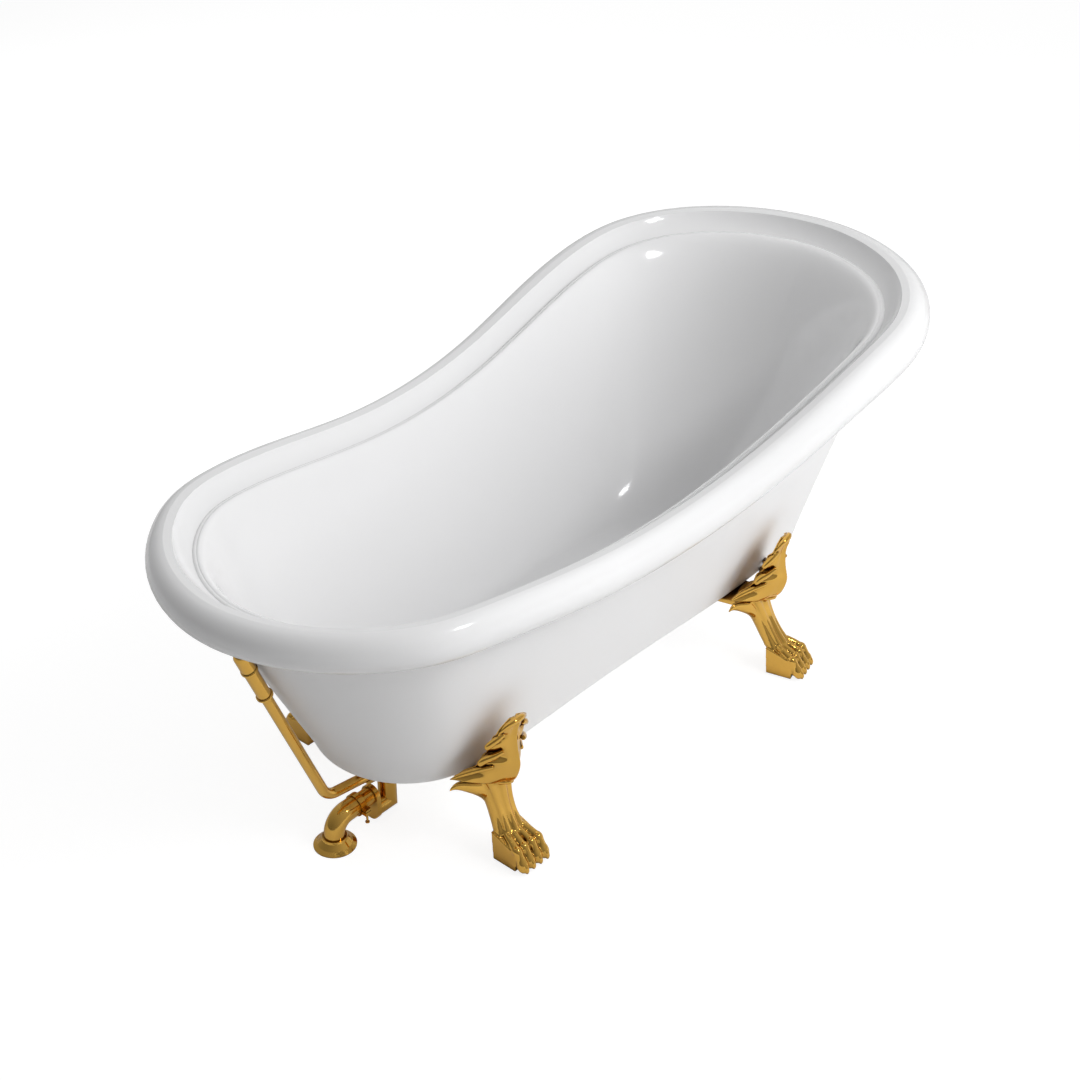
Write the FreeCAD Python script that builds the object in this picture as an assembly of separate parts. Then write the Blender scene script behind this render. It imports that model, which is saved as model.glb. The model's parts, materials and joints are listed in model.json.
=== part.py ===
"""Slipper bathtub on four claw feet, with an exposed waste and overflow.

Frame: millimetres, +Z up, the floor is z = 0. +X runs to the high head end, and the waste
and its riser stand at the foot end, -X, in the middle plane y = 0.
"""
import FreeCAD, Part
import math
import os

from FreeCAD import Placement, Rotation, Vector

os.makedirs("parts", exist_ok=True)

X_AXIS = Vector(1, 0, 0)
Y_AXIS = Vector(0, 1, 0)
Z_AXIS = Vector(0, 0, 1)

# ---------------------------------------------------------------- driving dimensions
# Rim: plan of the opening, measured at the inner edge of the flat band on top of the rim.
RIM_FOOT_X = -803.0             # foot end of the opening
RIM_HEAD_X = 787.0              # head end of the opening
RIM_FOOT_ROUND = 267.0          # length of the rounded foot end
RIM_HEAD_ROUND = 349.0          # length of the rounded head end
RIM_FOOT_HALF_WIDTH = 295.0     # half width where the foot end's rounding starts
RIM_HEAD_HALF_WIDTH = 337.0     # half width where the head end's rounding starts
RIM_ROUND_POWER = 1.92          # 2 is an ellipse, less is more pointed
RIM_HEIGHTS = (610.0, 605.0, 585.0, 562.0, 591.0, 653.0, 691.0, 702.0)  # evenly, foot to head
BAND_WIDTH = 14.0
BAND_RISE = 2.0                 # the band's outer edge stands this much higher
ROLL_WIDTH_MID = 25.0
ROLL_WIDTH_FOOT = 33.0
ROLL_WIDTH_HEAD = 49.0
ROLL_DEPTH_FOOT = 66.0
ROLL_DEPTH_HEAD = 94.0
COVE_WIDTH = 32.0               # hollow between the band and the basin wall
COVE_DEPTH = 34.0
SHEET = 5.0                     # thickness of both mouldings

# Basin floor
FLOOR_Z = 190.0
FLOOR_FOOT_X = -540.0
FLOOR_HEAD_X = 330.0
FLOOR_FOOT_ROUND = 115.0
FLOOR_HEAD_ROUND = 190.0
FLOOR_FOOT_HALF_WIDTH = 108.0
FLOOR_HEAD_HALF_WIDTH = 122.0

# Skirt: underside and the turn at its edge
BASE_Z = 151.0
BASE_FOOT_X = -587.0
BASE_HEAD_X = 674.0
BASE_FOOT_ROUND = 168.0
BASE_HEAD_ROUND = 328.0
BASE_FOOT_HALF_WIDTH = 172.0
BASE_HEAD_HALF_WIDTH = 180.0
BASE_EDGE_HEIGHT = 13.0
BASE_EDGE_INSET = 12.0
SKIRT_INSET = 28.0              # skirt wall inside the opening's edge, below the roll
SKIRT_JOIN_DROP = 74.0          # where the wall proper starts, below the rim

# Floor board and foot blocks between the two mouldings
BOARD_FOOT_X = -505.0
BOARD_HEAD_X = 300.0
BOARD_GAP = 14.5                # between board and blocks, at the closest
BLOCK_LENGTH = 80.0
BLOCK_WIDTH = 44.0
BOARD_HOLE_GAP = 8.0            # round the waste body

# Claw feet
FOOT_END_X = -421.0
HEAD_END_X = 333.0
FOOT_END_REACH = 95.0           # paw centre outside the underside's edge
HEAD_END_REACH = 112.0
FOOT_END_SPLAY = 0.6            # degrees that the toes turn to the foot end
HEAD_END_SPLAY = 14.7           # degrees that the toes turn to the head end
LEAF_TOP_Z = 297.0
LEAF_THICKNESS = 7.0            # at the ridge
LEAF_EDGE = 2.8                 # thickness at the lobed edges
WALL_STANDOFF = 1.0             # leaf's edge off the skirt's wall
PAW_HALF_WIDTH = 34.0
PAW_SOLE_BACK = 34.0
PAW_HEEL_Z = 60.0
TOES = 4
TOE_SPREAD = 25.5               # outer toes' middles to either side
PAD_THICKNESS = 2.0
PAD_INSET = 4.0
PAW_SOLE_FRONT = 17.5
SEAT_THICKNESS = 10.0
STUD_RADIUS = 5.0
STUD_SPACING = 44.0
STUD_FROM_EDGE = 46.0           # inboard of the underside's edge
STUD_GAP = 0.5
STUD_TOP_Z = 184.0
STUD_TAIL = 6.0                 # stud below its nut
WASHER_RADIUS = 11.0
WASHER_THICKNESS = 2.0
NUT_FLATS = 17.0
NUT_HEIGHT = 8.0

# Waste, in the plane y = 0
DRAIN_X = -477.0
DRAIN_BORE_RADIUS = 19.0
DRAIN_TUBE_RADIUS = 22.0
DRAIN_HOLE_RADIUS = 24.0
DRAIN_FLANGE_RADIUS = 35.0
SEAL_THICKNESS = 1.5
BODY_RADIUS = 26.0
BODY_HOLE_GAP = 1.5
BODY_LOW_Z = 70.0
BODY_SPIGOT = 12.0              # narrow lower end of the waste body
BODY_TAPER = 10.0
FLANGE_TUBE_LOW_Z = 152.0
FLANGE_LIP = 3.0                # drain flange over its seal
BODY_NUT_RADIUS = 37.0
BODY_NUT_HEIGHT = 11.0
SHOE_RADIUS = 16.8
SHOE_BORE = 14.4
SHOE_AXIS_Z = 21.0
SHOE_LENGTH = 46.0              # from the bend's axis to the top of its upright leg
SHOE_SOCKET = 20.0              # drop tube inside that leg
SHOE_REACH = 34.5               # from the drain's axis to the end of the level leg
DROP_WALL = 1.6
COUPLING_LOW_RADIUS = 21.0
COUPLING_HIGH_RADIUS = 19.5
COUPLING_THICKNESS = 9.0
COUPLING_LOW_Z = 25.0
OUTLET_Z = 54.0
OUTLET_X = -606.0
OUTLET_RADIUS = 18.5
OUTLET_BORE = 16.5
OUTLET_BEND = 30.0
OUTLET_SOCKET_X = -545.0        # open end of the outlet elbow
BARREL_BORE = 13.5
BARREL_SOCKET = 15.0            # barrel inside the outlet elbow
SLIP_GAP = 0.4
CLAMP_WIDTH = 12.0
CLAMP_WALL = 2.5
CLAMP_LUG = 9.0
CLAMP_SCREW_RADIUS = 2.0
CLAMP_SCREW_LENGTH = 17.0
FLANGE_RADIUS = 38.0
FLANGE_HEIGHT = 20.0
FLANGE_COLLAR_RADIUS = 21.7
FLANGE_WALL = 1.8
FLANGE_GAP = 0.4
FLANGE_LIFT = 5.0               # travel of the floor flange up its tube

# Stopper
STOPPER_RADIUS = 27.0
STOPPER_LIFT = 8.0              # open height over the closed position
STEM_RADIUS = 4.0
STEM_GAP = 0.05
HUB_RADIUS = 8.0
HUB_HEIGHT = 26.0
HUB_DROP = 8.0                  # hub's top below the drain's rim
ARM_WIDTH = 3.0
ARM_HEIGHT = 5.0
STEM_LENGTH = 44.0
STOPPER_SEAL = 1.0

# Overflow riser
RISER_RADIUS = 9.6
RISER_BORE = 8.2
RISER_LEAN = 21.8               # degrees from upright
RISER_FALL = 8.0                # degrees that the run falls to the waste body
RISER_BEND = 38.0
RISER_CORNER_X = -617.0         # where the two straight lines meet
RISER_CORNER_Z = 113.0
OVERFLOW_DROP = 125.6           # overflow elbow's centre below the foot end's rim
SLEEVE_RADIUS = 12.0
SLEEVE_LENGTH = 74.0
SLEEVE_TOP = 30.0               # sleeve's upper end, below the overflow elbow's centre
COLLAR_RADIUS = 14.5
COLLAR_LENGTH = 6.0
COLLAR_BEVEL = 1.5
RISER_NUT_RADIUS = 15.0
RISER_NUT_LENGTH = 14.0
RISER_NUT_LIP = 5.0             # part of the nut beyond the port
PORT_RADIUS = 12.5
PORT_END_X = -519.0
PORT_SOCKET = 12.0
ELBOW_RADIUS = 13.2
ELBOW_SOCKET = 28.0             # length of the elbow's lower leg
ELBOW_STOP = 12.0               # riser's end below the elbow's centre
OVERFLOW_FLANGE_RADIUS = 21.0
OVERFLOW_FLANGE_THICKNESS = 3.5
GASKET_THICKNESS = 2.0
NECK_RADIUS = 11.0
NECK_BORE = 8.5
NECK_GAP = 1.0
NECK_SHORT = 1.5                # neck's end behind the basin's wet face
BAR_HALF_WIDTH = 4.5            # bar across the neck's end that takes the screw
BAR_DEPTH = 5.0
OVERFLOW_SCREW_RADIUS = 2.2
PLATE_RADIUS = 33.0
PLATE_THICKNESS = 2.5
PLATE_BEVEL = 2.0
PLATE_GAP = 0.9                 # between the plate and the curved wall, at the closest

THROUGH = 200.0                 # long enough to cut through any wall


# ---------------------------------------------------------------- helpers
def save(name, shape):
    shape.exportStep("parts/%s.step" % name)


def cylinder(radius, length, base, axis=Z_AXIS):
    return Part.makeCylinder(radius, length, base, axis)


def tube(outer, inner, length, base, axis=Z_AXIS):
    return cylinder(outer, length, base, axis).cut(cylinder(inner, length, base, axis))


def hexagon_prism(flats, height, base):
    corner = flats / math.sqrt(3)
    points = []
    for k in range(7):
        angle = math.radians(60 * k)
        points.append(base + Vector(corner * math.cos(angle), corner * math.sin(angle), 0))
    return Part.Face(Part.makePolygon(points)).extrude(Z_AXIS * height)


def box_between(low, high):
    size = high - low
    return Part.makeBox(size.x, size.y, size.z, low)


def revolve_profile(points, base, axis=Z_AXIS):
    """Closed profile of (radius, height) points turned round the line through base."""
    corners = [Vector(r, 0, z) for r, z in points]
    face = Part.Face(Part.makePolygon(corners + corners[:1]))
    face.Placement = Placement(base, Rotation(Z_AXIS, axis))
    return face.revolve(base, axis, 360)


def mix(a, b, share):
    return a + (b - a) * share


def bezier(p0, p1, p2, p3, t):
    u = 1 - t
    return p0 * u ** 3 + 3 * p1 * u * u * t + 3 * p2 * u * t * t + p3 * t ** 3


# ---------------------------------------------------------------- rings of the two mouldings
QUARTER_STEPS = 5
STRAIGHT_STEPS = 3


def plan(foot_x, head_x, foot_round, head_round, foot_half, head_half, power=2.0):
    """Egg-shaped plan, from the head's tip round the +Y side, as (x, y) pairs."""
    head_start = head_x - head_round
    foot_start = foot_x + foot_round
    lean = (head_half - foot_half) / (head_start - foot_start)
    side = []
    for k in range(QUARTER_STEPS):
        angle = math.pi / 2 * k / QUARTER_STEPS
        side.append((head_start + head_round * math.cos(angle) ** (2 / power),
                     math.sin(angle) ** (2 / power)))
    for k in range(STRAIGHT_STEPS + 1):
        side.append((mix(head_start, foot_start, k / STRAIGHT_STEPS), 1.0))
    for k in range(1, QUARTER_STEPS + 1):
        angle = math.pi / 2 * k / QUARTER_STEPS
        side.append((foot_start - foot_round * math.sin(angle) ** (2 / power),
                     math.cos(angle) ** (2 / power) if k < QUARTER_STEPS else 0.0))
    half = [(x, y * (foot_half + lean * (x - foot_start))) for x, y in side]
    return half + [(x, -y) for x, y in half[-2:0:-1]]


def grown(points, distance):
    """The plan moved outward by a distance, which may vary from point to point."""
    count = len(points)
    out = []
    for k, (x, y) in enumerate(points):
        before = points[k - 1]
        after = points[(k + 1) % count]
        dx, dy = after[0] - before[0], after[1] - before[1]
        size = math.hypot(dx, dy)
        step = distance[k] if isinstance(distance, list) else distance
        out.append((x + step * dy / size, y - step * dx / size))
    return out


def rim_height(x):
    """Smooth line through RIM_HEIGHTS, level beyond the ends."""
    spans = len(RIM_HEIGHTS) - 1
    place = (x - RIM_FOOT_X) / (RIM_HEAD_X - RIM_FOOT_X) * spans
    place = min(max(place, 0.0), spans - 1e-9)
    k = int(place)
    t = place - k
    h = (RIM_HEIGHTS[0],) + RIM_HEIGHTS + (RIM_HEIGHTS[-1],)
    slope0 = (h[k + 2] - h[k]) / 2
    slope1 = (h[k + 3] - h[k + 1]) / 2
    return (h[k + 1] * (1 + 2 * t) * (1 - t) ** 2 + slope0 * t * (1 - t) ** 2
            + h[k + 2] * t * t * (3 - 2 * t) + slope1 * t * t * (t - 1))


OPENING = plan(RIM_FOOT_X, RIM_HEAD_X, RIM_FOOT_ROUND, RIM_HEAD_ROUND,
               RIM_FOOT_HALF_WIDTH, RIM_HEAD_HALF_WIDTH, RIM_ROUND_POWER)
FLOOR = plan(FLOOR_FOOT_X, FLOOR_HEAD_X, FLOOR_FOOT_ROUND, FLOOR_HEAD_ROUND,
             FLOOR_FOOT_HALF_WIDTH, FLOOR_HEAD_HALF_WIDTH)
BASE = plan(BASE_FOOT_X, BASE_HEAD_X, BASE_FOOT_ROUND, BASE_HEAD_ROUND,
            BASE_FOOT_HALF_WIDTH, BASE_HEAD_HALF_WIDTH)
RIM_Z = [rim_height(x) for x, y in OPENING]
ALONG = [(2 * x - RIM_FOOT_X - RIM_HEAD_X) / (RIM_HEAD_X - RIM_FOOT_X) for x, y in OPENING]
ROLL_WIDTH = [ROLL_WIDTH_MID + (ROLL_WIDTH_HEAD - ROLL_WIDTH_FOOT) / 2 * a
              + ((ROLL_WIDTH_HEAD + ROLL_WIDTH_FOOT) / 2 - ROLL_WIDTH_MID) * a * a for a in ALONG]
ROLL_DEPTH = [mix(ROLL_DEPTH_FOOT, ROLL_DEPTH_HEAD, (1 + a) / 2) for a in ALONG]


def shared_parameters():
    """One parameter per ring point, so that all rings match along their length."""
    places = [0.0]
    count = len(OPENING)
    for k in range(count):
        ax, ay = OPENING[k]
        bx, by = OPENING[(k + 1) % count]
        places.append(places[-1] + math.hypot(bx - ax, by - ay))
    return [p / places[-1] for p in places]


PARAMETERS = shared_parameters()


def ring(points, heights):
    """Closed smooth wire through plan points at one height or at one height each."""
    if not isinstance(heights, list):
        heights = [heights] * len(points)
    curve = Part.BSplineCurve()
    curve.interpolate(Points=[Vector(x, y, z) for (x, y), z in zip(points, heights)],
                      PeriodicFlag=True, Parameters=PARAMETERS)
    return Part.Wire([curve.toShape()])


def rim_ring(out, rise):
    """Ring at a distance outside the opening's edge and a height over the rim line."""
    rises = rise if isinstance(rise, list) else [rise] * len(RIM_Z)
    return ring(grown(OPENING, out), [z + r for z, r in zip(RIM_Z, rises)])


def moulding(stretches, caps):
    """Closed solid from stretches of rings that share their end rings, and flat caps."""
    faces = []
    for rings, ruled in stretches:
        faces += Part.makeLoft(rings, False, ruled).Faces
    faces += [Part.Face(cap) for cap in caps]
    shell = Part.makeShell(faces)
    shell.sewShape()
    solid = Part.makeSolid(Part.Shell(shell.Faces))
    if solid.Volume < 0:
        solid.reverse()
    return solid


def wall_ring(share, back):
    """Basin wall from the cove's lower edge (0) to the floor's edge (1), or its back."""
    inward = bezier(0.0, 0.5, 0.75, 1.0, share)
    downward = bezier(0.0, 0.6, 1.0, 1.0, share)
    top = grown(OPENING, back - COVE_WIDTH)
    bottom = grown(FLOOR, back)
    points = [(mix(a[0], b[0], inward), mix(a[1], b[1], inward)) for a, b in zip(top, bottom)]
    drop = back * share
    heights = [mix(z - COVE_DEPTH, FLOOR_Z, downward) - drop for z in RIM_Z]
    return ring(points, heights)


WALL_SHARES = (0.0, 0.25, 0.5, 0.75, 0.9, 1.0)
TURN_STEPS = 6


def roll_ring(turn, back):
    """Rolled edge: turn 0 is at the band's outer edge, 1 at the free edge underneath."""
    angle = math.pi * turn
    out = [BAND_WIDTH + (w - back) * math.sin(angle) for w in ROLL_WIDTH]
    drop = [BAND_RISE - back - (d + BAND_RISE - 2 * back) * (1 - math.cos(angle)) / 2
            for d in ROLL_DEPTH]
    return rim_ring(out, drop)


def cove_ring(turn, back):
    """Hollow cove, from the band's inner edge (0) down to the basin wall (1)."""
    angle = math.pi / 2 * turn
    inward = COVE_WIDTH * (1 - math.cos(angle))
    return rim_ring(back * turn - mix(inward, COVE_WIDTH * turn, 0.55),
                    -back * (1 - turn) - mix(COVE_DEPTH * math.sin(angle), COVE_DEPTH * turn, 0.55))


def make_basin():
    wall = [wall_ring(s, 0.0) for s in WALL_SHARES]
    back = [wall_ring(s, SHEET) for s in WALL_SHARES]
    cove = [wall[0]] + [cove_ring(t, 0.0) for t in (0.66, 0.33, 0.0)]
    roll = [roll_ring(k / TURN_STEPS, 0.0) for k in range(TURN_STEPS + 1)]
    inside = [roll_ring(1 - k / TURN_STEPS, SHEET) for k in range(TURN_STEPS + 1)]
    under_band = rim_ring(0.0, -SHEET)
    under_cove = [under_band] + [cove_ring(t, SHEET) for t in (0.33, 0.66)] + [back[0]]
    solid = moulding([(wall, False), (cove, False), ([cove[-1], roll[0]], True), (roll, False),
                      ([roll[-1], inside[0]], True), (inside, False),
                      ([inside[-1], under_band], True), (under_cove, False), (back, False)],
                     [wall[-1], back[-1]])
    solid = solid.cut(cylinder(DRAIN_HOLE_RADIUS, 4 * SHEET, Vector(DRAIN_X, 0, FLOOR_Z - 3 * SHEET)))
    return solid.cut(overflow_hole())


def skirt_ring(share, inset):
    top = grown(OPENING, -SKIRT_INSET - inset)
    bottom = grown(BASE, -inset)
    points = [(mix(a[0], b[0], share), mix(a[1], b[1], share)) for a, b in zip(top, bottom)]
    heights = [mix(z - SKIRT_JOIN_DROP, BASE_Z + BASE_EDGE_HEIGHT, share) for z in RIM_Z]
    return ring(points, heights)


def skirt_flare(inset):
    """Upper edge, flared out under the rim, where the two mouldings are bonded."""
    return [rim_ring(BAND_WIDTH / 2 - inset, -SHEET - 1.0), rim_ring(-BAND_WIDTH / 2 - inset, -40.0),
            skirt_ring(0.0, inset)]


def base_turn(inset, lift):
    """Rounded turn from the wall into the flat underside."""
    rings = [skirt_ring(1.0, inset)]
    for k in (1, 2, 3):
        angle = math.pi / 2 * k / 3
        rings.append(ring(grown(BASE, -inset - BASE_EDGE_INSET * (1 - math.cos(angle))),
                          BASE_Z + lift + (BASE_EDGE_HEIGHT - lift) * (1 - math.sin(angle))))
    return rings


def make_skirt():
    outer_flare = skirt_flare(0.0)
    inner_flare = skirt_flare(SHEET)
    outer_turn = base_turn(0.0, 0.0)
    inner_turn = base_turn(SHEET, SHEET)
    solid = moulding([(outer_flare, False), ([outer_flare[-1], outer_turn[0]], True),
                      (outer_turn, False), (inner_turn, False),
                      ([inner_flare[-1], inner_turn[0]], True), (inner_flare, False),
                      ([outer_flare[0], inner_flare[0]], True)],
                     [outer_turn[-1], inner_turn[-1]])
    hole = BODY_RADIUS + BODY_HOLE_GAP
    solid = solid.cut(cylinder(hole, 4 * SHEET, Vector(DRAIN_X, 0, BASE_Z - SHEET)))
    for stud in stud_places():
        solid = solid.cut(cylinder(STUD_RADIUS + STUD_GAP, 4 * SHEET, stud - Z_AXIS * SHEET))
    return solid.cut(overflow_hole())


# ---------------------------------------------------------------- overflow placing
RISER_UP = Vector(-math.sin(math.radians(RISER_LEAN)), 0, math.cos(math.radians(RISER_LEAN)))
RISER_CORNER = Vector(RISER_CORNER_X, 0, RISER_CORNER_Z)
ELBOW_CENTRE = RISER_CORNER + RISER_UP * ((RIM_HEIGHTS[0] - OVERFLOW_DROP - RISER_CORNER_Z) / RISER_UP.z)
SKIRT_TOP = Vector(RIM_FOOT_X + SKIRT_INSET, 0, RIM_HEIGHTS[0] - SKIRT_JOIN_DROP)
SKIRT_LOW = Vector(BASE_FOOT_X, 0, BASE_Z + BASE_EDGE_HEIGHT)
WALL_UP = (SKIRT_TOP - SKIRT_LOW).normalize()
INTO_TUB = Vector(WALL_UP.z, 0, -WALL_UP.x)
WET_FACE = Part.makeLoft([wall_ring(s, 0.0) for s in WALL_SHARES], False, False)


def skirt_distance():
    """From the overflow elbow's centre to the skirt, square to the skirt."""
    return (SKIRT_LOW - ELBOW_CENTRE).dot(INTO_TUB)


def basin_distance(aside=Vector(0, 0, 0)):
    """From the same centre, or a point beside it, to the basin's wet face along the same line."""
    start = ELBOW_CENTRE + aside
    ray = Part.makeLine(start, start + INTO_TUB * THROUGH)
    return ray.distToShape(WET_FACE)[1][0][0].distanceToPoint(start)


def overflow_hole():
    return cylinder(NECK_RADIUS + NECK_GAP, THROUGH, ELBOW_CENTRE, INTO_TUB)


# ---------------------------------------------------------------- feet
def foot_places():
    """Name, paw centre, toe direction in degrees and reach of the four feet."""
    places = []
    for end, x, splay, reach in (("foot_end", FOOT_END_X, -FOOT_END_SPLAY, FOOT_END_REACH),
                                 ("head_end", HEAD_END_X, HEAD_END_SPLAY, HEAD_END_REACH)):
        share = (x - FOOT_END_X) / (HEAD_END_X - FOOT_END_X)
        edge = mix(BASE_FOOT_HALF_WIDTH, BASE_HEAD_HALF_WIDTH, share)
        for side, sign in (("near", -1), ("far", 1)):
            turn = 180 + splay if sign < 0 else -splay
            places.append((end + "_" + side, Vector(x, sign * (edge + reach), 0), turn, reach))
    return places


def foot_placement(centre, turn):
    return Placement(centre, Rotation(Z_AXIS, turn))


def stud_places():
    """Where the studs pass the skirt's underside."""
    out = []
    for name, centre, turn, reach in foot_places():
        place = foot_placement(centre, turn)
        for x in (-STUD_SPACING / 2, STUD_SPACING / 2):
            out.append(place.multVec(Vector(x, -reach - STUD_FROM_EDGE, BASE_Z)))
    return out


def closed_polygon(points):
    return Part.makePolygon(points + points[:1])


def leant(outward, z, reach):
    """Outward place of a point of the foot, leant so that its top meets the tub's edge."""
    share = (z - PAW_HEEL_Z) / (BASE_Z - PAW_HEEL_Z)
    return outward - (reach - FOOT_END_REACH) * min(max(share, 0), 1)


def round_section(centre, direction, radius, side):
    """Eight-sided section square to a direction, started on the given side."""
    across = direction.cross(side).normalize()
    level = across.cross(direction).normalize()
    points = []
    for k in range(8):
        angle = math.radians(45 * k + 22.5)
        points.append(centre + level * (radius * math.cos(angle)) + across * (radius * math.sin(angle)))
    return closed_polygon(points)


def tapered_sweep(stations, side):
    """Solid through eight-sided sections, each square to the line through its neighbours."""
    centres = [Vector(*s[:3]) for s in stations]
    wires = []
    last = len(centres) - 1
    for k, centre in enumerate(centres):
        direction = centres[min(k + 1, last)] - centres[max(k - 1, 0)]
        wires.append(round_section(centre, direction, stations[k][3], side))
    return Part.makeLoft(wires, True, True)


LEG_POINTS = 18
RIB_SWELL = 0.055
# height, middle's distance outward, half width, half depth
LEG = ((BASE_Z - 1, -65, 38, 25), (140, -63, 35, 25), (128, -60, 31, 24), (112, -54.5, 28, 22.5),
       (95, -47.5, 26.5, 22), (78, -40, 26.5, 22.5), (66, -34, 28, 23), (52, -27, 30, 23))


def make_leg(reach):
    """Leg with a plain back and three ribs down its front, drawn in to the ankle."""
    sections = []
    for z, middle, half_width, half_depth in LEG:
        points = []
        for k in range(LEG_POINTS):
            angle = math.radians(10 + 360 * k / LEG_POINTS)
            rib = RIB_SWELL * (1 if k % 2 == 0 else -1) * max(math.sin(angle), 0)
            points.append(Vector(half_width * (1 + rib) * math.cos(angle),
                                 leant(middle, z, reach) + half_depth * (1 + rib) * math.sin(angle), z))
        sections.append(closed_polygon(points))
    return Part.makeLoft(sections, True, True)


# height, half width with its lobes, half width of the fold, ridge's distance outward
LEAF = ((150, 40, 92, -36), (154, 62, 92, -30), (159, 79, 90, -24), (166, 58, 72, -18),
        (174, 46, 60, -14.5), (183, 44, 52, -12.5), (192, 33, 44, -11.5), (202, 33, 38, -11),
        (211, 24, 32, -11.5), (222, 24, 29, -12), (232, 20, 27, -12.5), (250, 21, 24, -13),
        (268, 20, 22, -13.5), (284, 16, 20, -14), (292, 11, 16, -15), (LEAF_TOP_Z, 5, 13, -18))
LEAF_COLUMNS = (-1.0, -0.72, -0.4, -0.12, 0.0, 0.12, 0.4, 0.72, 1.0)
FOLD_POWER = 1.25


def wall_from_edge(z):
    """How far the skirt's side wall stands outside the underside's edge at a height."""
    rise = RIM_HEIGHTS[3] - SKIRT_JOIN_DROP - BASE_Z - BASE_EDGE_HEIGHT
    mid_half = (RIM_FOOT_HALF_WIDTH + RIM_HEAD_HALF_WIDTH) / 2 - SKIRT_INSET
    run = mid_half - BASE_FOOT_HALF_WIDTH
    return run / rise * max(z - BASE_Z - BASE_EDGE_HEIGHT, 0)


def make_leaf(reach):
    """Leaf folded along its ridge, with lobed edges, that covers the tub's lower edge."""
    sections = []
    for z, half_width, fold, ridge in LEAF:
        back = wall_from_edge(z) - reach + WALL_STANDOFF + LEAF_THICKNESS
        outer = []
        inner = []
        for column in LEAF_COLUMNS:
            x = half_width * column
            y = back + (leant(ridge, z, reach) - back) * (1 - (abs(x) / fold) ** FOLD_POWER)
            outer.append(Vector(x, y, z))
            inner.append(Vector(x, y - mix(LEAF_THICKNESS, LEAF_EDGE, abs(column)), z))
        sections.append(closed_polygon(outer + inner[::-1]))
    return Part.makeLoft(sections, True, True)


# sideways, outward, height, radius: lower leaf tip that grows out of the leg's flank
HORN = ((8, -57, 120, 16), (24, -59, 136, 14), (42, -63, 146, 10.5), (60, -69, 151, 7),
        (76, -76, 150, 4), (85, -80, 145, 1.5))
# rolled top of the leaf
SCROLL = ((-16, -27, 282, 2.5), (-10, -20, 291, 3.5), (0, -16, 296, 4), (10, -20, 291, 3.5),
          (16, -27, 282, 2.5))
# outward, height, radius along one toe: cord, knuckle, joint, pad
TOE = ((-30, 62, 5.5), (-12, 57.5, 6.2), (3, 50, 7), (13, 42, 9), (18, 32, 7.6), (22, 22, 8.8), (24, 11, 8.4))
CLAW = ((18, 25, 6), (26, 23, 5), (31.5, 17, 3.8), (34, 10, 2.4), (34, 5, 1))
# outward, height round the heel block's side
HEEL = ((-PAW_SOLE_BACK, PAD_THICKNESS), (PAW_SOLE_FRONT, PAD_THICKNESS), (PAW_SOLE_FRONT, 33), (8, 42),
        (-10, 50), (-26, 56), (-PAW_SOLE_BACK - 3, PAW_HEEL_Z))


def make_paw():
    """Heel block with flat sides, the toes over and before it, and their claws."""
    profile = [Vector(-PAW_HALF_WIDTH, y, z) for y, z in HEEL]
    pieces = [Part.Face(closed_polygon(profile)).extrude(X_AXIS * 2 * PAW_HALF_WIDTH)]
    for k in range(TOES):
        x = TOE_SPREAD * (2 * k / (TOES - 1) - 1)
        for stations in (TOE, CLAW):
            pieces.append(tapered_sweep([(x, y, z, r) for y, z, r in stations], X_AXIS))
    return pieces


def make_limb(stations, reach, side=1):
    """Sweep through stations that lean with the foot, on one side of it or the other."""
    return tapered_sweep([(side * x, leant(y, z, reach), z, r) for x, y, z, r in stations], Y_AXIS)


def make_seat(reach):
    """Plate under the tub's lower edge, with room for the two stud holes."""
    low = Vector(-STUD_SPACING / 2 - 18, -reach - STUD_FROM_EDGE - 16, BASE_Z - SEAT_THICKNESS)
    high = Vector(STUD_SPACING / 2 + 18, 35 - reach, BASE_Z)
    return box_between(low, high)


def make_foot(reach):
    pieces = make_paw() + [make_leaf(reach), make_seat(reach), make_limb(SCROLL, reach)]
    for side in (-1, 1):
        pieces.append(make_limb(HORN, reach, side))
    foot = make_leg(reach).multiFuse(pieces)
    for x in (-STUD_SPACING / 2, STUD_SPACING / 2):
        foot = foot.cut(cylinder(STUD_RADIUS + STUD_GAP, 3 * SEAT_THICKNESS,
                                 Vector(x, -reach - STUD_FROM_EDGE, BASE_Z - 2 * SEAT_THICKNESS)))
    return foot


# ---------------------------------------------------------------- pieces that carry the tub
def block_middles():
    """Middle of each foot block's lower face, over its foot's studs."""
    inboard = [(foot_placement(centre, turn), -reach - STUD_FROM_EDGE)
               for name, centre, turn, reach in foot_places()]
    return [place.multVec(Vector(0, y, BASE_Z + SHEET)) for place, y in inboard]


def make_board():
    """Board laminated between the basin floor and the skirt's underside."""
    half_width = min(abs(m.y) for m in block_middles()) - BLOCK_WIDTH / 2 - BOARD_GAP
    board = box_between(Vector(BOARD_FOOT_X, -half_width, BASE_Z + SHEET),
                        Vector(BOARD_HEAD_X, half_width, FLOOR_Z - SHEET))
    corners = [e for e in board.Edges if abs(e.tangentAt(e.FirstParameter).z) > 0.9]
    board = board.makeFillet(half_width / 2, corners)
    return board.cut(cylinder(BODY_RADIUS + BOARD_HOLE_GAP, THROUGH, Vector(DRAIN_X, 0, BASE_Z)))


def make_blocks():
    """One hardwood block over each foot, laid along the tub and bored for its studs."""
    half = Vector(BLOCK_LENGTH / 2, BLOCK_WIDTH / 2, 0)
    rise = Z_AXIS * (STUD_TOP_Z - BASE_Z - SHEET)
    blocks = Part.makeCompound([box_between(m - half, m + half + rise) for m in block_middles()])
    for stud in stud_places():
        blocks = blocks.cut(cylinder(STUD_RADIUS, THROUGH, stud))
    return blocks


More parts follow.
